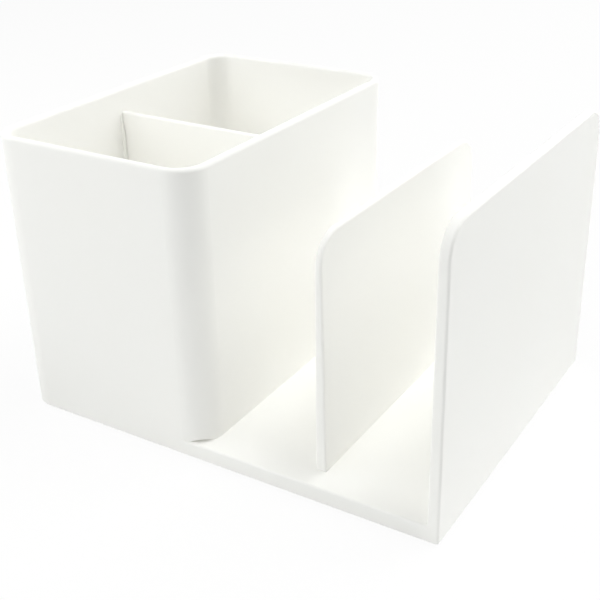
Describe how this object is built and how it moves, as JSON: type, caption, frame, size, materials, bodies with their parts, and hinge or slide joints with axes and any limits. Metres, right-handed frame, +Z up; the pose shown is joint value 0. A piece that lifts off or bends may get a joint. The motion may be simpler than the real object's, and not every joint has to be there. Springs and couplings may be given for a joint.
{
  "type": "desk organizer with pencil cup",
  "caption": "Desk organizer: a round-cornered pencil cup with a lift-out divider beside two open sorter slots, on one flat base with an upright end plate.",
  "frame": {"origin": "on the desk, under the middle of the overall footprint", "axes": "+X from the cup to the end plate, +Y from front to back, +Z up"},
  "size_m": [0.17, 0.13, 0.1055],
  "materials": {
    "white_plastic": "satin, fine moulded texture",
    "screw_steel": "zinc plated",
    "foot_rubber": "matt"
  },
  "bodies": {
    "organizer": {"base_tray": "white_plastic", "pencil_cup": "white_plastic", "middle_plate": "white_plastic", "cup_screws": "screw_steel", "foot_front_left": "foot_rubber", "foot_front_right": "foot_rubber", "foot_rear_left": "foot_rubber", "foot_rear_right": "foot_rubber"},
    "divider": {"cup_divider": "white_plastic"}
  },
  "joints": [
    {"name": "divider_lift", "type": "slide", "parent": "organizer", "child": "divider", "axis": [0, 0, 1], "range_m": [0, 0.1]}
  ]
}
